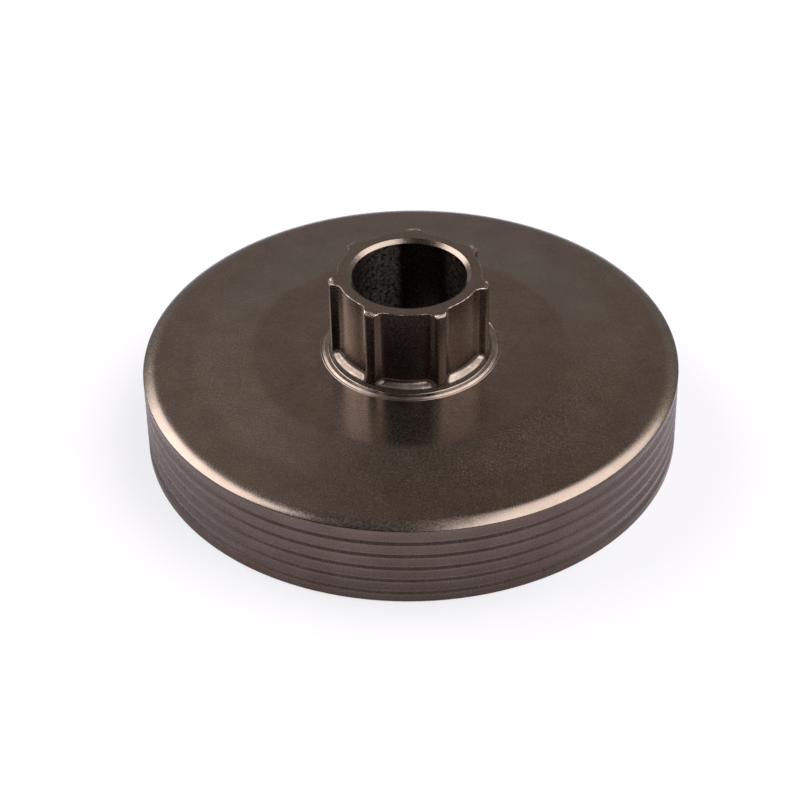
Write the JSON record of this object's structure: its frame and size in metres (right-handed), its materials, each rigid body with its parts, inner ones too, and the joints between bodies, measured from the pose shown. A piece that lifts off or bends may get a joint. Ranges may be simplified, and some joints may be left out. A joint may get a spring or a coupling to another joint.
{
  "type": "chainsaw clutch drum",
  "caption": "One-piece steel clutch drum: a shallow cup with a turned, grooved wall, a low coned face and a splined hub with a plain bearing bore.",
  "frame": {"origin": "centre of the open rim's face, on the surface the drum stands on", "axes": "+Z along the drum's axis towards the nose of the hub; +Y through the middle of one spline"},
  "size_m": [0.0762, 0.0762, 0.0265],
  "materials": {
    "drum_steel": "satin, dark brown-grey phosphated steel with turned faces"
  },
  "bodies": {
    "root": {"clutch_drum": "drum_steel"}
  },
  "joints": []
}
